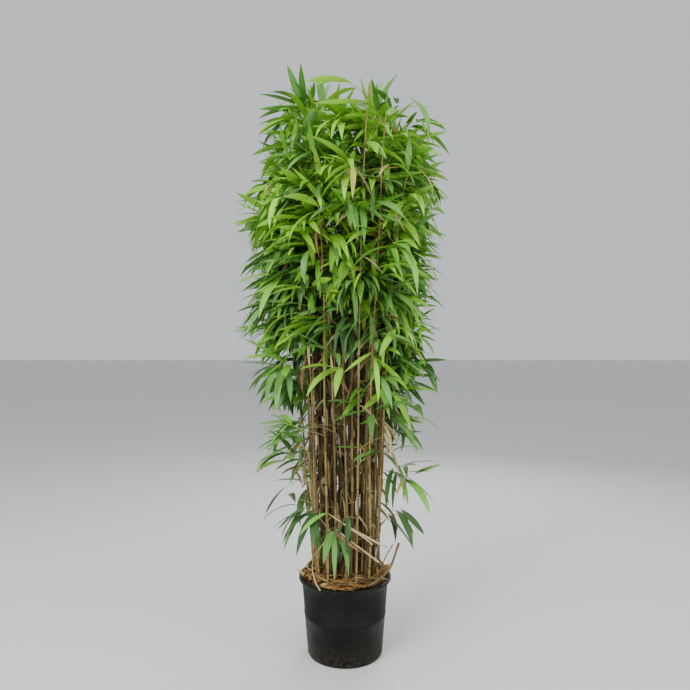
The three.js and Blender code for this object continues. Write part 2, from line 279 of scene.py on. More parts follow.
# Living leaf: pale midrib, fine veins along the blade, soft mottling and here and there a dry tip
leafSkin = {
    "shine": 0.36,
    "mottling": ((1, 1, 1), 11.0, 3),
    "mottleEdges": (0.3, 0.7),
    "mottleGain": (0.8, 1.2),
    "roughness": (0.36, 0.50),
    "ownTone": ((0.0, 1.0), 0.5, 0.45),  # edges, and share and gain of the darkest leaf
    "veins": 95.0,  # radians across the blade
    "veinTone": ((-1.0, 1.0), 0.16),
    "veinHeight": 0.2,
    "ribTone": (0.015, 0.045, 0.6, 0.0),  # how far from the middle of a blade 1 wide, and the shares
    "ribHeight": (0.0, 0.05),
    "tip": (0.9, 0.99),  # along a blade 1 long
    "tipWhere": (0.42, 0.56),  # mottling at which a tip is dry
    "dryTip": (0.42, 0.28, 0.12),
    "relief": (0.35, 0.0008),
}


def leafFinish(name, blade, rib):
    finish = Finish(name, shine=leafSkin["shine"])
    uv = finish.node("TexCoord").outputs["UV"]
    across, along, _ = finish.node("SeparateXYZ", Vector=uv).outputs
    fromRib = finish.math("ABSOLUTE", finish.math("SUBTRACT", across, 0.5))
    veins = finish.math("SINE", finish.math("MULTIPLY", across, leafSkin["veins"]))
    mottling = finish.noise(*leafSkin["mottling"])
    own = finish.node("NewGeometry").outputs["Random Per Island"]
    dull, clear = leafSkin["mottleGain"]
    tone = finish.layer(shade(blade, dull), mottling, blade, leafSkin["mottleEdges"], gain=clear)
    tone = finish.layer(tone, own, blade, *leafSkin["ownTone"])
    tone = finish.layer(tone, veins, rib, *leafSkin["veinTone"])
    tone = finish.mix(finish.remap(fromRib, *leafSkin["ribTone"]), tone, shade(rib))
    atTip, where = finish.remap(along, *leafSkin["tip"]), finish.remap(mottling, *leafSkin["tipWhere"])
    finish.color(finish.mix(finish.math("MULTIPLY", atTip, where), tone, shade(leafSkin["dryTip"])))
    finish.rough(finish.remap(mottling, *leafSkin["mottleEdges"], *leafSkin["roughness"]))
    furrows = finish.math("MULTIPLY", veins, leafSkin["veinHeight"])
    height = finish.math("ADD", furrows, finish.remap(fromRib, *leafSkin["ribHeight"]))
    finish.bump(height, *leafSkin["relief"])
    return finish.material


# Black nursery pot: satin plastic with dust, scuffs, a lighter grey-green band towards the lip and soil round
# the foot
potSkin = {
    "shine": 0.16,
    "plastic": (0.0012, 0.0018, 0.0013),
    "cloud": ((1, 1, 1), 7.0, 6, 0.65),  # stretch, scale, detail and roughness of the noise
    "grain": ((1, 1, 1), 90.0, 4, 0.7),
    "scratch": ((14, 14, 60), 1.0, 6, 0.75),
    "dots": ((1, 1, 1), 240.0, 1),
    "dust": ((0.0075, 0.0105, 0.0055), (0.4, 0.72), 0.8),  # colour, edges and share
    "scuffs": ((0.020, 0.024, 0.015), (0.6, 0.72), 0.55),
    "specks": ((0.11, 0.115, 0.08), (0.74, 0.79), 0.55),
    "soil": (0.060, 0.043, 0.025),
    "soilHeights": (0.13, 0.0),
    "soilEdges": (0.45, 0.62),
    "soilShare": 0.75,
    # A lighter grey-green towards the top of the pot, over its last few centimetres up to the lip
    "paleTop": (0.020, 0.024, 0.015),
    "paleTopHeights": (0.33, 0.4),
    "paleTopShare": (0.4, 0.6, 0.1, 0.6),
    "roughness": (0.35, 0.7, 0.34, 0.66),
    "relief": (0.22, 0.0012),
}


def potFinish():
    finish = Finish("worn black plastic", shine=potSkin["shine"])
    height = finish.node("SeparateXYZ", Vector=finish.place()).outputs[2]
    kinds = ("cloud", "grain", "scratch", "dots")
    cloud, grain, scratch, dots = (finish.noise(*potSkin[kind]) for kind in kinds)
    tone = finish.layer(shade(potSkin["plastic"]), cloud, *potSkin["dust"])
    tone = finish.layer(tone, scratch, *potSkin["scuffs"])
    tone = finish.layer(tone, dots, *potSkin["specks"])
    low, splashed = finish.remap(height, *potSkin["soilHeights"]), finish.remap(grain, *potSkin["soilEdges"])
    soiled = finish.math("MULTIPLY", finish.math("MULTIPLY", low, splashed), potSkin["soilShare"])
    tone = finish.mix(soiled, tone, shade(potSkin["soil"]))
    # Lighter grey-green towards the lip, in patches of the cloud noise
    high, patchy = finish.remap(height, *potSkin["paleTopHeights"]), finish.remap(cloud, *potSkin["paleTopShare"])
    finish.color(finish.mix(finish.math("MULTIPLY", high, patchy), tone, shade(potSkin["paleTop"])))
    finish.rough(finish.remap(cloud, *potSkin["roughness"]))
    finish.bump(finish.math("ADD", grain, scratch), *potSkin["relief"])
    return finish.material


# Pot: turned wall with a rolled lip, two faint bands and a stepped foot
pot = {
    "height": 0.400,
    "rim": 0.240,
    "shoulder": 0.226,
    "foot": 0.194,
    "wall": 0.004,
    "floor": 0.006,
    "lip": 0.017,
    "lipRound": 0.004,
    "lipSteps": 5,
    "lipEdge": ((0.006, -0.001), (0.001, 0.001), (0.0, 0.004)),  # in from the rim, up from the lip's foot
    "underLip": (-0.03, -0.004),
    "inEdge": 0.002,
    "bands": (0.205, 0.214),
    "bandShape": ((0.0, -0.0025), (0.0022, -0.0005), (0.0022, 0.002), (0.0004, 0.004)),  # out and up
    "hollow": ((0.0001, 0.004), (0.12, 0.004), (0.155, 0.0)),  # radius and height under the foot
    "footEdge": ((0.010, 0.0), (0.003, 0.002)),  # in from the foot, and height
    "lowWall": (0.009, 0.03),
    "highWall": 0.3,
    "sides": 120,
    "wobble": 0.0022,
}


def wallAt(height):
    return between(pot["foot"], pot["shoulder"], height / pot["height"])


def potProfile():
    rim, top, lipLow = pot["rim"], pot["height"], pot["height"] - pot["lip"]
    outside = [*pot["hollow"]] + [(pot["foot"] - inward, height) for inward, height in pot["footEdge"]]
    outside += [(wallAt(height), height) for height in pot["lowWall"]]
    for band in pot["bands"]:
        outside += [(wallAt(band) + out, band + up) for out, up in pot["bandShape"]]
    outside += [(wallAt(lipLow + up), lipLow + up) for up in pot["underLip"]]
    outside += [(rim - inward, lipLow + up) for inward, up in pot["lipEdge"]]
    bend = pot["lipRound"]
    roundTop = [
        (rim - bend + bend * math.cos(turn), top - bend + bend * math.sin(turn))
        for turn in np.linspace(0, math.pi / 2, pot["lipSteps"])
    ]
    inner = wallAt(top) - pot["wall"]
    inside = [(inner + pot["inEdge"], top), (inner, top - pot["inEdge"])]
    inside += [(wallAt(height) - pot["wall"], height) for height in (pot["highWall"], pot["floor"])]
    return outside + roundTop + inside + [(pot["hollow"][0][0], pot["floor"])]


corners, quads = turned(potProfile(), pot["sides"], pot["wobble"])
meshPiece("nursery_pot", corners, [quads], [potFinish()], ["pot"])

# Compost: a crumbly heap, a little higher in the middle, from wall to wall
compost = {
    "edge": 0.3835,
    "middle": 0.3905,
    "reach": 0.22,
    "hub": 0.0004,
    "wallLevel": 0.385,
    "wallGap": 0.0005,
    "crumbs": 0.004,  # most that a corner is moved up or down
    "highestCrumb": 0.0065,
    "skirt": (0.97, 0.05),  # how far it narrows and how deep it hangs, out of sight
    "rings": 46,
    "sides": 150,
    "roughness": 0.95,
    "bark": ((1, 1, 1), 160.0, 5, 0.7),
    "patches": ((1, 1, 1), 26.0, 4),
    "dark": (0.035, 0.022, 0.013),
    "light": ((0.16, 0.10, 0.055), (0.35, 0.68)),  # colour, edges and share
    "straw": ((0.33, 0.22, 0.11), (0.5, 0.7), 0.7),
    "relief": (0.9, 0.006),
}


def compostFinish():
    finish = Finish("bark compost", compost["roughness"])
    bark = finish.noise(*compost["bark"])
    tone = finish.layer(shade(compost["dark"]), bark, *compost["light"])
    finish.color(finish.layer(tone, finish.noise(*compost["patches"]), *compost["straw"]))
    finish.bump(bark, *compost["relief"])
    return finish.material


def compostTop(radius):
    return between(compost["middle"], compost["edge"], (radius / compost["reach"]) ** 3)


def makeCompost():
    sides = compost["sides"]
    edge = wallAt(compost["wallLevel"]) - pot["wall"] - compost["wallGap"]
    radii = np.linspace(compost["hub"], edge, compost["rings"])
    corners, quads = turned([(radius, compostTop(radius)) for radius in radii], sides)
    lift = spread(-1, 1, len(corners)) * compost["crumbs"]
    lift[-sides:] = 0
    corners[:, 2] += np.minimum(lift, compost["highestCrumb"])
    narrow, deep = compost["skirt"]
    skirt = corners[-sides:] * [narrow, narrow, 1] - [0, 0, deep]
    last = np.arange(len(corners) - sides, len(corners))
    quads = np.concatenate([quads, ringQuads(np.stack([last, last + sides]))])
    corners = np.concatenate([corners, skirt])
    meshPiece("bark_compost", corners, [quads], [compostFinish()], ["compost"])


makeCompost()

# Canes: the stems of the CAD model, from the same rule
clump = {
    "stems": len(stemNodes),
    "stemSeed": 20000,
    "radius": 0.186,
    "plantHeight": 3.05,
    "tipLeafRise": 0.19,
    "headGap": 0.0003,
    "foot": 0.3903,
    "outerDrop": 0.38,
    "unevenness": 0.26,
    "turnSpread": (-0.1, 0.1),
    "lean": (0.045, 0.165),
    "leanSpread": (0.7, 1.3),
    "sway": 0.075,
    "straightUntil": 0.42,
    "bentFrom": 0.8,
    "leanAtBend": 0.3,
    "swayAtBend": 0.4,
    "thickness": (0.0066, 0.0026),
    "headStart": (0.64, 0.36),
    "headStartSpread": 0.08,
    "wave": 0.009,
    "waves": (7, 12),  # radians from foot to tip
    "waveStart": (0, 6),
    "stillFoot": 1 / 8,  # share of a cane over which its wave begins
    "points": 60,
}
# Slim canes that fill the clump between the stems
slim = {
    "count": 42,
    "outness": (0.02, 0.94),  # share of the clump's area that they keep to
    "spacing": 0.016,
    "height": (1.35, 2.2),
    "outerDrop": 0.25,
    "lean": (-0.3, 1.3),
    "sway": (-0.16, 0.16),
    "early": 0.45,  # how far they lean already low down
    "thickness": (0.0036, 0.0054),
    "tipThickness": 0.0016,
    "leafy": (0.5, 0.68),
}
# Leaders: canes that lean out of the clump and show in front of the leaves
leaderCanes = {
    "canes": (  # foot, lean and height
        ((0.055, -0.172), (0.05, -0.36), 2.36),
        ((0.118, -0.142), (0.07, -0.36), 2.22),
        ((0.160, -0.085), (0.14, -0.26), 2.02),
        ((-0.085, -0.160), (-0.05, -0.30), 2.06),
        ((-0.02, 0.178), (-0.06, 0.34), 2.22),
        ((-0.165, 0.055), (-0.27, 0.10), 2.05),
    ),
    "early": 0.3,
    "thickness": (0.0058, 0.0032),
    "leafy": 0.72,
    "tone": "straw",
    "gap": 0.028,  # half the width that leaves keep clear of
    "gapShare": 0.7,  # of the leaves there that are left out
}
goldenAngle = math.pi * (3 - math.sqrt(5))


# The same repeatable numbers as the CAD model draws
def seededDraw(start):
    wordSize = 2**32
    wordMask = wordSize - 1
    state = start & wordMask

    def nextNumber():
        nonlocal state
        state = (state + 0x6D2B79F5) & wordMask
        mixed = ((state ^ (state >> 15)) * (state | 1)) & wordMask
        mixed ^= (mixed + (((mixed ^ (mixed >> 7)) * (mixed | 61)) & wordMask)) & wordMask
        return ((mixed ^ (mixed >> 14)) & wordMask) / wordSize

    return nextNumber


def caneCurve(angle, reach, height, lean, sway, early=0.0):
    out = np.array([math.cos(angle), math.sin(angle), 0])
    side = np.array([-math.sin(angle), math.cos(angle), 0])
    up = np.array([0, 0, 1.0])
    foot = out * reach + up * clump["foot"]
    lower = foot + up * height * clump["straightUntil"] + (out * lean + side * sway) * early
    upper = foot + up * height * clump["bentFrom"]
    upper = upper + out * lean * clump["leanAtBend"] + side * sway * clump["swayAtBend"]
    tip = foot + up * height + out * lean + side * sway
    t = np.linspace(0, 1, clump["points"])[:, None]
    curve = foot * (1 - t) ** 3 + lower * 3 * t * (1 - t) ** 2 + upper * 3 * t**2 * (1 - t) + tip * t**3
    wave = np.sin(t * spread(*clump["waves"]) + spread(*clump["waveStart"]))
    wave = wave * np.minimum(t / clump["stillFoot"], 1) * clump["wave"]
    return curve + wave * spread(-1, 1, 2) @ np.stack([out, side])


def caneOf(angle, outness, height, curve, leafy, thickness, **more):
    return {"angle": angle, "outness": outness, "height": height, "curve": curve, "leafy": leafy,
            "thickness": thickness, "node": None, **more}


def growStem(index):
    number = seededDraw(clump["stemSeed"] + index)
    outness = math.sqrt((index + 0.5) / clump["stems"])
    angle = index * goldenAngle + between(*clump["turnSpread"], number())
    uneven = number() * number()
    drop = clump["outerDrop"] * outness**2 + clump["unevenness"] * uneven
    height = clump["plantHeight"] - clump["tipLeafRise"] - clump["foot"] + clump["headGap"] - drop
    lean = between(*clump["lean"], outness) * between(*clump["leanSpread"], number())
    sway = clump["sway"] * between(-1, 1, number())
    curve = caneCurve(angle, clump["radius"] * outness, height, lean, sway)
    leafy = between(*clump["headStart"], outness**2) + clump["headStartSpread"] * number()
    return caneOf(angle, outness, height, curve, leafy, clump["thickness"], node=f"stem_{index + 1:02d}")


def growSlim(taken):
    tries = 400
    for _ in range(tries):
        angle, outness = spread(0, fullTurn), math.sqrt(spread(*slim["outness"]))
        place = clump["radius"] * outness * np.array([math.cos(angle), math.sin(angle)])
        if all(np.linalg.norm(place - other) > slim["spacing"] for other in taken):
            break
    taken.append(place)
    height = spread(*slim["height"]) - slim["outerDrop"] * outness
    lean = between(*clump["lean"], outness) * spread(*slim["lean"])
    curve = caneCurve(angle, clump["radius"] * outness, height, lean, spread(*slim["sway"]), slim["early"])
    thickness = (spread(*slim["thickness"]), slim["tipThickness"])
    return caneOf(angle, outness, height, curve, spread(*slim["leafy"]), thickness)


def growLeader(foot, lean, height):
    angle, reach = math.atan2(foot[1], foot[0]), math.hypot(*foot)
    outward = (lean[0] * foot[0] + lean[1] * foot[1]) / reach
    sideways = (lean[1] * foot[0] - lean[0] * foot[1]) / reach
    curve = caneCurve(angle, reach, height, outward, sideways, leaderCanes["early"])
    leafy, thickness, way = leaderCanes["leafy"], leaderCanes["thickness"], unit(np.array(lean))
    return caneOf(math.atan2(lean[1], lean[0]), 1.0, height, curve, leafy, thickness,
                  tone=leaderCanes["tone"], way=way)


stems = [growStem(index) for index in range(clump["stems"])]
feet = [stem["curve"][0, :2] for stem in stems]
leaders = [growLeader(*leader) for leader in leaderCanes["canes"]]
canes = stems + leaders + [growSlim(feet) for _ in range(slim["count"])]
print(len(canes), "canes grown")


# The middle of a cane and its radius at heights above the ground
def caneAt(cane, heights):
    curve = cane["curve"]
    return np.stack([np.interp(heights, curve[:, 2], curve[:, axis]) for axis in range(3)], -1)


def placeOn(cane, height):
    return caneAt(cane, np.array([height]))[0]


def caneThickness(cane, heights):
    share = (np.asarray(heights) - clump["foot"]) / cane["height"]
    return between(*cane["thickness"], np.clip(share, 0, 1))


caneLook = {
    "sides": 10,
    "firstJoint": (0.03, 0.12),  # over the compost
    "jointStep": (0.135, 0.185),
    "lowStep": (0.75, 4),  # share of that at the foot, and how many joints it takes to grow
    "bareTip": 0.2,
    "lastWaist": 0.03,  # how far under the top the last joint's stretch ends
    "footRings": ((-0.004, 1.25), (0.0, 1.25), (0.012, 1.1)),  # height and swelling
    "ridge": ((-0.012, 1.0), (-0.004, 1.05), (0.0, 1.24), (0.004, 1.06), (0.014, 1.0)),
    "ring": (-0.005, 0.003),  # the part of the ridge in the joint's tone
    "waist": 0.97,
    "tip": 0.6,
    "outerFrom": 0.7,
    "tones": {
        "straw": ((0.29, 0.212, 0.066), (0.18, 0.122, 0.036)),
        "tan": ((0.165, 0.120, 0.036), (0.10, 0.068, 0.021)),
        "brown": ((0.058, 0.040, 0.013), (0.032, 0.021, 0.008)),
        "olive": ((0.078, 0.088, 0.017), (0.052, 0.050, 0.012)),
    },
    # Canes in the middle of the clump take darker tones than those outside: partly real differences between
    # canes, partly painted shade where the clump shades them
    "outerMixture": ("straw", "tan", "straw", "tan", "brown"),
    "innerShadedMixture": ("brown", "tan", "olive", "brown", "olive"),
    "jointTone": ((0.11, 0.062, 0.03), (0.06, 0.034, 0.018)),
}


# Heights of the joints of a cane
def jointsOf(cane):
    heights = [clump["foot"] + spread(*caneLook["firstJoint"])]
    top = clump["foot"] + cane["height"]
    lowShare, longFrom = caneLook["lowStep"]
    while heights[-1] < top - caneLook["bareTip"]:
        step = spread(*caneLook["jointStep"]) * between(lowShare, 1.0, min(1, len(heights) / longFrom))
        heights.append(heights[-1] + step)
    return np.array(heights)


# Corners and faces of a cane, and which of its faces are in the joints' tone
def caneMesh(cane):
    foot, top = clump["foot"], clump["foot"] + cane["height"]
    rings = [(foot + up, swell, False) for up, swell in caneLook["footRings"]]
    ringLow, ringHigh = caneLook["ring"]
    for joint, nextJoint in zip(cane["joints"], [*cane["joints"][1:], top - caneLook["lastWaist"]]):
        rings += [(joint + up, swell, ringLow < up < ringHigh) for up, swell in caneLook["ridge"]]
        rings.append(((joint + nextJoint) / 2, caneLook["waist"], False))
    rings.append((top, caneLook["tip"], False))
    heights, swell, onJoint = np.array(rings).T
    centres = caneAt(cane, heights)
    centres[:, 2] = heights
    radii = caneThickness(cane, heights) * swell
    corners, quads = rods(centres[None], radii[None], caneLook["sides"])
    return corners, quads, np.repeat(onJoint[:-1], caneLook["sides"])


for number, cane in enumerate(canes):
    # The darker mixture on inner canes is partly painted shade
    mixture = caneLook["outerMixture" if cane["outness"] > caneLook["outerFrom"] else "innerShadedMixture"]
    cane.setdefault("tone", mixture[number % len(mixture)])
    cane["joints"] = jointsOf(cane)

jointFinish = caneFinish("cane joint", *caneLook["jointTone"])
for tone, (base, dark) in caneLook["tones"].items():
    chosen = [cane for cane in canes if cane["tone"] == tone]
    made = [caneMesh(cane) for cane in chosen]
    corners, quads = joined([(c, q) for c, q, _ in made])
    onJoint = np.concatenate([j for _, _, j in made])
    finishes = [caneFinish(f"{tone} cane", base, dark), jointFinish]
    nodes = [cane["node"] for cane in chosen if cane["node"]]
    meshPiece(f"{tone}_canes", corners, [quads], finishes, nodes, onJoint)

# Sheaths: papery husks that cling above each joint, with a torn, pointed top
sheath = {
    "share": 0.5,  # of the joints that keep theirs
    "highest": 1.75,
    "wrap": 5.3,
    "length": (0.6, 0.92),  # of the way to the next joint
    "start": 0.001,
    "shoulder": (0.66, 0.34),  # height at its edges, and how much the middle stands over that
    "shoulderCurve": 1.3,
    "ragged": (-0.04, 0.04),
    "tongue": (0.006, 0.03),
    "tongueNarrow": 2.4,
    "tongueCurve": 8,  # how late along the sheath the tongue sets in
    "tongueFlare": 0.5,
    "loose": (0.0002, 0.0014),
    "looseMiddle": 0.4,  # how loose the middle is against the edges
    "swell": 1.05,
    "clear": 0.0005,
    "columns": 9,
    "rows": 6,
    "paleShare": 0.62,
    "veins": (300, 300, 12),
    "tones": {
        "pale": ((0.29, 0.215, 0.083), (0.18, 0.125, 0.046)),
        "russet": ((0.145, 0.092, 0.034), (0.08, 0.048, 0.019)),
    },
}


def sheathMesh(cane, low, high):
    columns, rows = sheath["columns"], sheath["rows"]
    across = np.linspace(-1, 1, columns)
    aside = np.abs(across)
    v = np.linspace(0, 1, rows)[:, None]
    length = (high - low) * spread(*sheath["length"])
    edge, peak = sheath["shoulder"]
    top = length * (edge + peak * (1 - aside ** sheath["shoulderCurve"]) + spread(*sheath["ragged"], columns))
    tongue = spread(*sheath["tongue"]) * np.clip(1 - aside * sheath["tongueNarrow"], 0, 1)
    drawnOut = v ** sheath["tongueCurve"]
    heights = low + sheath["start"] + v * top + tongue * drawnOut
    loose = spread(*sheath["loose"]) * v**2 * between(sheath["looseMiddle"], 1, aside)
    lift = sheath["clear"] + loose + tongue * sheath["tongueFlare"] * drawnOut
    turn = spread(0, fullTurn) + across * sheath["wrap"] / 2
    centres = caneAt(cane, heights.ravel()).reshape(rows, columns, 3)
    reach = caneThickness(cane, heights) * sheath["swell"] + lift
    outward = np.stack([np.cos(turn), np.sin(turn), np.zeros(columns)], -1)
    corners = centres + outward * reach[..., None]
    corners[..., 2] = heights
    return corners.reshape(-1, 3), sheetQuads(np.arange(rows * columns).reshape(rows, columns))


husks = {tone: [] for tone in sheath["tones"]}
for cane in canes:
    for low, high in zip(cane["joints"], cane["joints"][1:]):
        if high < sheath["highest"] and draw.random() < sheath["share"]:
            tone = "pale" if draw.random() < sheath["paleShare"] else "russet"
            husks[tone].append(sheathMesh(cane, low, high))
for tone, (base, dark) in sheath["tones"].items():
    corners, quads = joined(husks[tone])
    finish = paperFinish(f"{tone} sheath", base, dark, sheath["veins"])
    meshPiece(f"{tone}_sheaths", corners, [quads], [finish])

# Leaves: a long blade that narrows to a fine tip, folded along its midrib, arching and drooping
leaf = {
    "length": (0.185, 0.285),
    "width": (0.025, 0.040),
    "stations": (0.0, 0.04, 0.12, 0.26, 0.43, 0.62, 0.79, 0.92),
    "outline": (0.05, 0.10, 0.60, 0.93, 1.0, 0.87, 0.56, 0.22),
    "fold": (0.06, 0.34),
    "droop": (0.15, 1.55),
    "droopCurve": 1.4,  # over 1, more leaves droop little
    "bend": (0.55, 1.3),  # low bends near the stalk and runs straight on, high bends near the tip
    "roll": (-1.25, 1.25),
    "stalkRoll": 0.25,  # share of the roll that the stalk has already
    "veer": (-0.4, 0.4),
    # The green tints are lit and shaded copies of one leaf green: painted light and shade, lightest out and
    # high on the crown and darkest deep inside it. Yellow is a leaf's own yellowing.
    "tints": {
        "painted_sunlit": ((0.255, 0.560, 0.028), (0.36, 0.64, 0.11)),
        "painted_lit": ((0.162, 0.440, 0.032), (0.28, 0.55, 0.11)),
        "middle": ((0.115, 0.315, 0.052), (0.26, 0.47, 0.13)),
        "deep": ((0.062, 0.178, 0.031), (0.16, 0.31, 0.085)),
        "shadow": ((0.034, 0.100, 0.021), (0.10, 0.20, 0.052)),
        "yellow": ((0.50, 0.47, 0.07), (0.60, 0.56, 0.20)),
    },
    "yellowShare": 0.006,
}
tintNames = list(leaf["tints"])


# Corners (leaves, corners, 3) of blades, from arrays that say how each one is held
def blades(root, yaw, rise, droop, length, width, roll, fold, veer, bend):
    stations = np.array([*leaf["stations"], 1.0])
    middle = (stations[1:] + stations[:-1]) / 2
    pitch = rise[:, None] - droop[:, None] * middle ** bend[:, None]
    course = yaw[:, None] + veer[:, None] * middle
    step = np.stack([np.cos(pitch) * np.cos(course), np.cos(pitch) * np.sin(course), np.sin(pitch)], -1)
    step *= (np.diff(stations) * length[:, None])[..., None]
    spine = np.concatenate([root[:, None], root[:, None] + np.cumsum(step, 1)], 1)
    along = unit(np.gradient(spine, axis=1))
    heading = yaw[:, None] + veer[:, None] * stations
    side = np.stack([-np.sin(heading), np.cos(heading), np.zeros_like(heading)], -1)
    face = unit(np.cross(along, side))
    rolled = (roll[:, None] * between(leaf["stalkRoll"], 1, stations))[..., None]
    side, face = side * np.cos(rolled) + face * np.sin(rolled), face * np.cos(rolled) - side * np.sin(rolled)
    half = (np.array([*leaf["outline"], 0.0]) * width[:, None] / 2)[..., None]
    out, lift = np.cos(fold)[:, None, None], np.sin(fold)[:, None, None]
    left = spine + side * half * out + face * half * lift
    right = spine - side * half * out + face * half * lift
    rows = np.stack([left, spine, right], 2)[:, :-1]
    return np.concatenate([rows.reshape(len(root), -1, 3), spine[:, -1:]], 1)


# Faces of so many blades and the uv of their corners: left, midrib and right on each row, then the tip
def bladeFaces(count):
    rows = len(leaf["stations"])
    index = np.arange(rows * 3).reshape(rows, 3)
    last, tip = index[-1], rows * 3
    tips = np.array([[last[0], last[1], tip], [last[1], last[2], tip]])
    starts = (np.arange(count) * (rows * 3 + 1))[:, None, None]
    uv = np.stack([np.tile([0.0, 0.5, 1.0], rows), np.repeat(leaf["stations"], 3)], -1)
    uv = np.tile(np.concatenate([uv, [[0.5, 1.0]]]), (count, 1))
    return [(sheetQuads(index) + starts).reshape(-1, 4), (tips + starts).reshape(-1, 3)], uv


def bladePiece(name, corners, finish, nodes=()):
    faces, uv = bladeFaces(len(corners))
    meshPiece(name, corners.reshape(-1, 3), faces, [finish], nodes, uv=uv)


# The crown: at each joint of a leafy cane a branch, on it side twigs, and at their ends fans of leaves
crown = {
    "heights": (0.8, 1.1, 1.5, 2.0, 2.4, 2.7, 2.9, 3.05),
    "reach": (0.38, 0.44, 0.50, 0.56, 0.58, 0.55, 0.47, 0.36),  # at these heights
    "deeper": 1.12,  # along Y, against the reach along X
    "lobes": 0.26,
    "lobeWaves": ((1.0, 3, 2.3, 0.7), (0.8, 5, -6.7, 2.0)),  # strength, turns, twist and start
    "lobeMiddle": 0.7,
    "pastReach": (1.0, 1.25),  # how far past the reach a leaf may stand
    "boxMargin": 0.02,
    "bareness": (0.3, 2.2),  # chance of a branch at the first leafy joint, and its growth to the top
    "leastHead": 0.1,  # a leafy part counts as at least this long
    "branchTurn": (0.2, 1.25),
    "innerTurn": 1.7,  # how much wider branches turn in the middle of the clump
    "frontGap": (0.75, 1.7, 0.6),  # half its angle, its top and the share left out, where canes show
    "room": (0.62, 1.08),
    "leafRoom": 0.15,  # kept for the leaves at a branch's end
    "roomOver": 0.1,  # how far over a branch's start its room is taken
    "shortest": 0.05,
    "levelShare": 0.82,  # of a branch's length that it gains sideways
    "branch": (0.40, 0.17),  # low down and at the top
    "branchSpread": (0.7, 1.2),
    "longBranch": (0.12, 1.5),  # chance, and how much longer
    "rise": (0.7, 1.2),
    "tipTurns": (0.0, 2.4),
    "tipRise": (0.7, 1.2),
    "tipLeaves": (2, 4),
    "tipSize": 0.9,
    "tipLimp": 0.45,
    "tipLight": 0.8,
}
branch = {
    "sag": (0.5, 1.1),
    "points": 6,
    "thickness": 0.0019,
    "tipShare": 0.55,
    "sides": 5,
    "leafSize": 1.0,
    "fanRise": (0.0, 0.45),
    "hang": ((1.0, 2.0, 2.8), (0.60, 0.42, 0.05)),  # heights, and how much lower the fans point there
    "hangSpread": (0.0, 1.4),
    "tone": ((0.30, 0.27, 0.10), (0.30, 0.19, 0.08)),
}
twig = {
    "most": 4,
    "from": (2, 5),  # points of the branch
    "turn": (0.5, 1.1),
    "rise": (0.2, 0.8),
    "length": (0.05, 0.12),
    "sag": 0.5,
    "points": 4,
    "thickness": 0.0011,
    "tipShare": 0.6,
    "sides": 4,
    "fanRise": (-0.05, 0.45),
    "leafSize": 0.96,
}
fan = {
    "leaves": (4, 7),
    "turn": (0.12, 1.15),  # of the last leaf and the first
    "turnSpread": (0.75, 1.25),
    "step": 0.011,
    "rise": (-0.4, 0.5),
}
# Fans that stand out low on the outside of the clump
lowFans = {
    "count": 64,
    "outerFrom": 0.8,
    "heights": (0.68, 1.5),
    "heightCurve": 1.2,
    "turn": (-0.9, 0.9),
    "length": (0.10, 0.20),
    "rise": (0.5, 0.9),
    "twigs": 1,
    "sunlit": 0.18,
}
# How much light a fan gets, and the least for each tint
light = {
    "outward": 0.45,
    "upward": 0.56,
    "heights": (1.0, 2),  # where upward starts, and how much higher it has all of its share
    "outerReach": 0.42,
    "spread": (-0.42, 0.42),
    "levels": (("painted_sunlit", 0.82), ("painted_lit", 0.62), ("middle", 0.40), ("deep", 0.18)),
}
leafRows = []
branchRows = []
twigRows = []


# How far the crown reaches at heights and compass angles, uneven all round
def reachAt(height, angle):
    waves, lobes = crown["lobeWaves"], 0
    for strength, turns, twist, start in waves:
        lobes = lobes + strength * np.sin(turns * angle + twist * height + start)
    most = sum(strength for strength, *_ in waves)
    plain = np.interp(height, crown["heights"], crown["reach"])
    plain = plain * between(1, crown["deeper"], np.sin(angle) ** 2)
    return plain * (1 + crown["lobes"] * (lobes - crown["lobeMiddle"]) / most)


# How far a branch can run level from a place before it leaves the crown
def roomFrom(place, yaw):
    limit = reachAt(place[2] + crown["roomOver"], yaw)
    along = place[0] * math.cos(yaw) + place[1] * math.sin(yaw)
    return math.sqrt(max(along**2 - place[0] ** 2 - place[1] ** 2 + limit**2, 0)) - along


def arc(start, yaw, rise, length, sag, points):
    share = np.linspace(0, 1, points)
    pitch = rise - sag * (share[1:] + share[:-1]) / 2
    step = np.stack([np.cos(pitch) * math.cos(yaw), np.cos(pitch) * math.sin(yaw), np.sin(pitch)], -1)
    return np.concatenate([start[None], start + np.cumsum(step * length / (points - 1), 0)])


def addFan(path, yaw, rise, count, size, tint, limp=1.0):
    along = unit(path[-1] - path[-2])
    for number in range(count):
        back = count - 1 - number
        turn = bySide(number) * between(*fan["turn"], back / max(count - 1, 1)) * spread(*fan["turnSpread"])
        root = path[-1] - along * fan["step"] * back
        leafRise = rise + spread(*fan["rise"])
        droop = between(*leaf["droop"], draw.random() ** leaf["droopCurve"]) * limp
        length, width = spread(*leaf["length"]) * size, spread(*leaf["width"]) * size
        held = [spread(*leaf[key]) for key in ("roll", "fold", "veer", "bend")]
        own = tintNames.index("yellow" if draw.random() < leaf["yellowShare"] else tint)
        leafRows.append((*root, yaw + turn, leafRise, droop, length, width, *held, own))


# Picks a fan's tint by how much light reaches it, so the tint is painted light and shade in the leaves'
# colour
def chooseTint(height, outward):
    low, climb = light["heights"]
    gained = light["outward"] * outward + light["upward"] * (height - low) / climb + spread(*light["spread"])
    for tint, level in light["levels"]:
        if gained > level:
            return tint
    return "shadow"


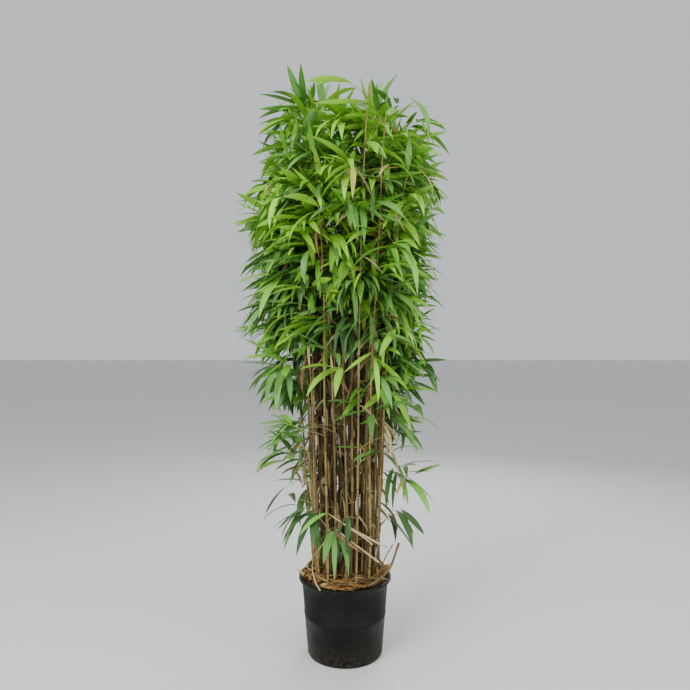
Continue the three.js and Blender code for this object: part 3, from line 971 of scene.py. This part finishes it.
def addBranch(start, yaw, length, rise, twigs, sunlit=0.0):
    path = arc(start, yaw, rise, length, spread(*branch["sag"]), branch["points"])
    branchRows.append(path)
    outward = float(np.clip(np.hypot(*path[-1, :2]) / light["outerReach"], 0, 1))
    tint = chooseTint(path[-1, 2], outward + sunlit)
    hang = np.interp(path[-1, 2], *branch["hang"]) * spread(*branch["hangSpread"])
    fanRise = spread(*branch["fanRise"]) - hang
    addFan(path, yaw, fanRise, draw.integers(*fan["leaves"]), branch["leafSize"], tint)
    for number in range(twigs):
        root = path[draw.integers(*twig["from"])]
        course = yaw + bySide(number) * spread(*twig["turn"])
        side = arc(root, course, spread(*twig["rise"]), spread(*twig["length"]), twig["sag"], twig["points"])
        twigRows.append(side)
        fanRise = spread(*twig["fanRise"]) - hang
        addFan(side, course, fanRise, draw.integers(*fan["leaves"]), twig["leafSize"], tint)


# A branch at a joint, unless chance or the gap at the front leaves it out
def branchAt(cane, order, joint, leafyFrom, top):
    share = (joint - leafyFrom) / max(top - leafyFrom, crown["leastHead"])
    first, growth = crown["bareness"]
    if share < 0 or draw.random() > first + growth * share:
        return
    wider = between(crown["innerTurn"], 1.0, cane["outness"])
    yaw = cane["angle"] + bySide(order) * spread(*crown["branchTurn"]) * wider
    start = placeOn(cane, joint)
    offFront = abs((yaw + math.pi / 2 + math.pi) % fullTurn - math.pi)
    halfGap, gapTop, gapShare = crown["frontGap"]
    if offFront < halfGap and joint < gapTop and draw.random() < gapShare:
        return
    room = roomFrom(start, yaw) * spread(*crown["room"]) - crown["leafRoom"]
    wanted = between(*crown["branch"], share) * spread(*crown["branchSpread"])
    chance, longer = crown["longBranch"]
    if draw.random() < chance:
        wanted *= longer
    length = min(max(room / crown["levelShare"], crown["shortest"]), wanted)
    addBranch(start, yaw, length, spread(*crown["rise"]), draw.integers(1, twig["most"] + 1))


for cane in canes:
    top = clump["foot"] + cane["height"]
    leafyFrom = clump["foot"] + cane["leafy"] * cane["height"]
    for order, joint in enumerate(cane["joints"]):
        branchAt(cane, order, joint, leafyFrom, top)
    tip = cane["curve"][-branch["points"]:]
    tint = chooseTint(tip[-1, 2], crown["tipLight"])
    for turn in crown["tipTurns"]:
        rise, count = spread(*crown["tipRise"]), draw.integers(*crown["tipLeaves"])
        addFan(tip, cane["angle"] + turn, rise, count, crown["tipSize"], tint, crown["tipLimp"])

outer = [cane for cane in canes if cane["outness"] > lowFans["outerFrom"]]
for number in range(lowFans["count"]):
    cane = outer[number * len(outer) // lowFans["count"]]
    start = placeOn(cane, between(*lowFans["heights"], draw.random() ** lowFans["heightCurve"]))
    yaw = cane["angle"] + spread(*lowFans["turn"])
    length, rise = spread(*lowFans["length"]), spread(*lowFans["rise"])
    addBranch(start, yaw, length, rise, lowFans["twigs"], lowFans["sunlit"])


# Leaves with a corner in the narrow gap on the outside of a leader
def hidesLeader(corners):
    hides = np.zeros(len(corners), bool)
    for leader in leaders:
        way = leader["way"]
        offset = (corners - caneAt(leader, corners[..., 2]))[..., :2]
        aside = np.abs(offset @ [way[1], -way[0]])
        below = corners[..., 2] < leader["curve"][-1, 2]
        hides |= (below & (offset @ way > 0) & (aside < leaderCanes["gap"])).any(1)
    return hides


# Which leaves stay: those within the crown's reach and the CAD box that don't hide a leader
def keptLeaves(corners):
    limits = reachAt(corners[..., 2], np.arctan2(corners[..., 1], corners[..., 0]))
    limits *= spread(*crown["pastReach"], len(corners))[:, None]
    boxLow, boxHigh = np.array(cadBox[0]) - crown["boxMargin"], np.array(cadBox[1]) + crown["boxMargin"]
    kept = ((corners > boxLow) & (corners < boxHigh)).all((1, 2))
    kept &= (np.hypot(corners[..., 0], corners[..., 1]) < limits).all(1)
    return kept & (~hidesLeader(corners) | (draw.random(len(corners)) > leaderCanes["gapShare"]))


held = np.array(leafRows)
corners = blades(held[:, :3], *held[:, 3:12].T)
kept = keptLeaves(corners)
print(len(held), "leaves grown,", int(kept.sum()), "kept inside the crown's reach")
for number, (tint, (blade, rib)) in enumerate(leaf["tints"].items()):
    chosen = corners[kept & (held[:, 12] == number)]
    bladePiece(f"{tint}_leaves", chosen, leafFinish(f"{tint} leaf", blade, rib), massNodes)

corners, quads = joined([taperedRods(branchRows, branch), taperedRods(twigRows, twig)])
greenTwig = caneFinish("green twig", *branch["tone"])
meshPiece("branches_and_twigs", corners, [quads], [greenTwig], massNodes)

# Dry leaves that still hang on the canes and branches, and dark ones in the middle of the clump, partly real
# dry leaves and partly painted shade
dryLeaves = {
    "highest": 2.5,  # on a branch
    "turn": (-1.3, 1.3),
    "droop": (0.2, 1.0),
    "width": (0.016, 0.031),
    "fold": (0.5, 1.3),
    "innerTo": 0.7,
    "veins": (60, 60, 60),
    "tones": {  # count, heights, share on the branches, rise, length, base and dark colours
        "straw": (
            150, (0.72, 2.3), 0.3, (-1.2, -0.1), (0.11, 0.21), (0.50, 0.40, 0.20), (0.33, 0.23, 0.10)),
        "rust": (
            120, (0.65, 2.2), 0.3, (-1.2, -0.1), (0.11, 0.21), (0.25, 0.145, 0.06), (0.15, 0.082, 0.034)),
        # The umber blades are dark dead leaves that fill the clump's middle: partly real dry leaves, partly
        # painted shade in the gaps between the canes
        "umber": (  # these fill the middle of the clump
            460, (0.5, 1.8), 0.0, (-1.4, -0.9), (0.08, 0.16), (0.10, 0.066, 0.027), (0.05, 0.032, 0.014)),
    },
}
deadBlade = {
    "roll": (-1.6, 1.6),
    "veer": (-1.0, 1.0),
    "bend": 1.2,
}


# Dead blades held at random within the ranges of a look, curled and twisted
def deadBlades(root, yaw, look):
    look, count = {**deadBlade, **look}, len(root)
    held = [spread(*look[key], count) for key in ("rise", "droop", "length", "width", "roll", "fold", "veer")]
    return blades(root, yaw, *held, np.full(count, look["bend"]))


inner = [cane for cane in canes if cane["outness"] < dryLeaves["innerTo"]]
branchEnds = np.array(branchRows)[:, -1]
branchEnds = branchEnds[branchEnds[:, 2] < dryLeaves["highest"]]
for tone, (count, heights, branchShare, rise, length, base, dark) in dryLeaves["tones"].items():
    chosen = draw.choice(canes if branchShare else inner, count)
    heights = spread(*heights, count)
    root = np.array([placeOn(cane, height) for cane, height in zip(chosen, heights)])
    onBranch = draw.random(count) < branchShare
    root[onBranch] = draw.choice(branchEnds, onBranch.sum())
    yaw = np.array([cane["angle"] for cane in chosen]) + spread(*dryLeaves["turn"], count)
    made = deadBlades(root, yaw, {**dryLeaves, "rise": rise, "length": length})
    finish = paperFinish(f"{tone} dry leaf", base, dark, dryLeaves["veins"])
    bladePiece(f"{tone}_dry_leaves", made, finish)

# Litter: dead leaves and husks heaped on the compost up to the rim
litter = {
    "count": 340,  # of each tone
    "reach": 0.222,
    "lift": (0.002, 0.020),
    "turn": (-0.2, 1.1),  # from a course round the pot
    "rise": (-0.08, 0.4),
    "droop": (-0.2, 0.9),
    "length": (0.07, 0.19),
    "fold": (0.2, 1.25),
    "lowest": 0.384,
    "inside": 0.218,
    "overRim": 0.001,
    "pastRim": 0.262,
    "veins": (50, 50, 50),
    "tones": {  # width, base and dark colours
        "straw": ((0.014, 0.038), (0.44, 0.31, 0.12), (0.29, 0.19, 0.07)),
        "ochre": ((0.018, 0.046), (0.42, 0.205, 0.055), (0.26, 0.12, 0.035)),
        "umber": ((0.010, 0.028), (0.17, 0.10, 0.048), (0.085, 0.05, 0.026)),
        "wisp": ((0.003, 0.008), (0.50, 0.39, 0.20), (0.36, 0.26, 0.12)),
    },
}


# Blades that lie on the compost inside the wall, or pass over the rim
def fitsPot(corners):
    away, height = np.hypot(corners[..., 0], corners[..., 1]), corners[..., 2]
    overRim = (height > pot["height"] + litter["overRim"]) & (away < litter["pastRim"])
    return (height.min(1) > litter["lowest"]) & ((away < litter["inside"]) | overRim).all(1)


for tone, (width, base, dark) in litter["tones"].items():
    count = litter["count"]
    reach, angle = litter["reach"] * np.sqrt(spread(0, 1, count)), spread(0, fullTurn, count)
    height = compostTop(reach) + spread(*litter["lift"], count)
    root = np.stack([reach * np.cos(angle), reach * np.sin(angle), height], -1)
    way = np.where(draw.random(count) < 0.5, 1, -1)
    yaw = angle + way * (math.pi / 2 + spread(*litter["turn"], count))
    made = deadBlades(root, yaw, {**litter, "width": width})
    finish = paperFinish(f"{tone} litter", base, dark, litter["veins"])
    bladePiece(f"{tone}_litter", made[fitsPot(made)], finish)

# Broken canes: pale dry ends that slant across the front of the clump, and bent ones at the rim
broken = {
    "sides": 8,
    "rings": 19,
    "smoothing": 4,
    "taper": ((0, 0.4, 1.5, 3), (0.35, 0.75, 1, 1)),  # places along a rod, and its thickness there
    "unevenness": (0.9, 1.1),
    "bluntEnd": 0.02,
    "tones": {
        "bleached": ((0.60, 0.48, 0.26), (0.42, 0.30, 0.14)),
        "weathered": ((0.17, 0.115, 0.045), (0.09, 0.056, 0.024)),
    },
    "rods": (  # tone, radius, then places from end to end
        ("bleached", 0.0046,
         (-0.085, -0.185, 0.768), (0.02, -0.208, 0.705), (0.12, -0.222, 0.655), (0.205, -0.23, 0.612)),
        ("bleached", 0.0034,
         (-0.015, -0.20, 0.728), (0.04, -0.212, 0.69), (0.09, -0.222, 0.662), (0.135, -0.23, 0.628)),
        ("bleached", 0.0044,
         (-0.045, -0.19, 0.692), (0.02, -0.205, 0.642), (0.09, -0.222, 0.596), (0.165, -0.238, 0.545)),
        ("bleached", 0.0030,
         (-0.125, -0.172, 0.742), (-0.09, -0.184, 0.70), (-0.06, -0.195, 0.668), (-0.028, -0.205, 0.628)),
        ("weathered", 0.0062,
         (0.03, -0.195, 0.404), (0.13, -0.200, 0.418), (0.225, -0.165, 0.482), (0.272, -0.12, 0.60)),
        ("bleached", 0.0030,
         (-0.165, -0.12, 0.50), (-0.163, -0.16, 0.47), (-0.145, -0.20, 0.43), (-0.12, -0.225, 0.402)),
        ("weathered", 0.0030,
         (0.165, -0.10, 0.40), (0.185, -0.12, 0.46), (0.195, -0.135, 0.52), (0.240, -0.14, 0.60)),
    ),
}


def brokenRod(radius, places):
    share = np.linspace(0, len(places) - 1, broken["rings"])
    centres = np.stack([np.interp(share, range(len(places)), axis) for axis in np.array(places).T], -1)
    for _ in range(broken["smoothing"]):
        centres[1:-1] = (centres[:-2] + 2 * centres[1:-1] + centres[2:]) / 4
    radii = radius * np.interp(share, *broken["taper"]) * spread(*broken["unevenness"], broken["rings"])
    blunt = broken["bluntEnd"]
    centres = np.concatenate([centres, centres[-1:] * (1 + blunt) - centres[-2:-1] * blunt])
    return rods(centres[None], np.append(radii, 0)[None], broken["sides"])


def makeBrokenCanes():
    tones = list(broken["tones"])
    corners, quads = joined([brokenRod(radius, places) for _, radius, *places in broken["rods"]])
    order = [tones.index(tone) for tone, *_ in broken["rods"]]
    finishes = [caneFinish(f"{tone} cane", *broken["tones"][tone]) for tone in tones]
    faceFinish = np.repeat(order, len(quads) // len(order))
    meshPiece("broken_canes", corners, [quads], finishes, faceFinish=faceFinish)


makeBrokenCanes()

# Dead twigs: short bare side shoots that are left on the lower canes
deadTwigs = {
    "count": 130,
    "heights": (0.45, 1.6),
    "turn": (-1.6, 1.6),
    "rise": (-0.2, 1.3),
    "length": (0.05, 0.20),
    "sag": (-0.6, 1.2),
    "points": 6,
    "thickness": 0.0011,
    "tipShare": 0.35,
    "sides": 4,
    "tone": ((0.42, 0.32, 0.17), (0.26, 0.18, 0.08)),
}


def makeDeadTwigs():
    paths = []
    for cane in draw.choice(canes, deadTwigs["count"]):
        start = placeOn(cane, spread(*deadTwigs["heights"]))
        yaw = cane["angle"] + spread(*deadTwigs["turn"])
        held = [spread(*deadTwigs[key]) for key in ("rise", "length", "sag")]
        paths.append(arc(start, yaw, *held, deadTwigs["points"]))
    corners, quads = taperedRods(paths, deadTwigs)
    meshPiece("dead_twigs", corners, [quads], [caneFinish("dead twig", *deadTwigs["tone"])])


makeDeadTwigs()

# Floor, light and camera
studio = {
    "floor": (0.66, 0.66, 0.645),
    "floorReach": 60.0,
    "floorRoughness": 0.8,
    "clouds": ((1, 1, 1), 3.0, 4),
    "cloudGain": 0.97,
    "sky": (0.93, 0.96, 1.0),
    "skyStrength": 0.75,
    "eye": (0.0, -3.15, 1.6),
    "lens": 31.3,  # millimetres, as is the width of the sensor
    "sensor": 36.0,
    "aim": (0.0, 0.0, 1.4),
    "lamps": {  # place, size and power
        "overhead": ((0.0, -0.6, 5.2), 5.0, 60),
        "key": ((-3.2, -4.0, 4.2), 3.0, 370),
        "fill": ((3.8, -3.2, 2.2), 3.0, 115),
        "back": ((1.5, 4.0, 3.6), 3.0, 120),
    },
}


def makeFloor():
    reach = studio["floorReach"]
    mesh = bpy.data.meshes.new("floor")
    corners = [(-reach, -reach, 0), (reach, -reach, 0), (reach, reach, 0), (-reach, reach, 0)]
    mesh.from_pydata(corners, [], [(0, 1, 2, 3)])
    finish = Finish("pale floor", studio["floorRoughness"])
    tones = [shade(studio["floor"], gain) for gain in (1.0, studio["cloudGain"])]
    finish.color(finish.mix(finish.noise(*studio["clouds"]), *tones))
    mesh.materials.append(finish.material)
    floor = bpy.data.objects.new("floor", mesh)
    bpy.context.collection.objects.link(floor)


def makeSky():
    world = bpy.data.worlds.new("soft sky")
    bpy.context.scene.world = world
    world.use_nodes = True
    background = world.node_tree.nodes["Background"]
    background.inputs["Color"].default_value = shade(studio["sky"])
    background.inputs["Strength"].default_value = studio["skyStrength"]


def makeLamp(name, place, size, power):
    data = bpy.data.lights.new(name, "AREA")
    data.size, data.energy = size, power
    lamp = bpy.data.objects.new(name, data)
    lamp.location = place
    x, y, z = np.array(studio["aim"]) - place
    lamp.rotation_euler = (math.atan2(math.hypot(x, y), -z), 0, math.atan2(y, x) - math.pi / 2)
    bpy.context.collection.objects.link(lamp)


def makeCamera():
    camera = bpy.data.objects.new("camera", bpy.data.cameras.new("camera"))
    camera.data.lens, camera.data.sensor_width = studio["lens"], studio["sensor"]
    camera.location, camera.rotation_euler = studio["eye"], (math.pi / 2, 0, 0)
    bpy.context.collection.objects.link(camera)
    bpy.context.scene.camera = camera


makeFloor()
makeSky()
for name, lamp in studio["lamps"].items():
    makeLamp(name, *lamp)
makeCamera()
print("floor, sky, lamps and camera set")
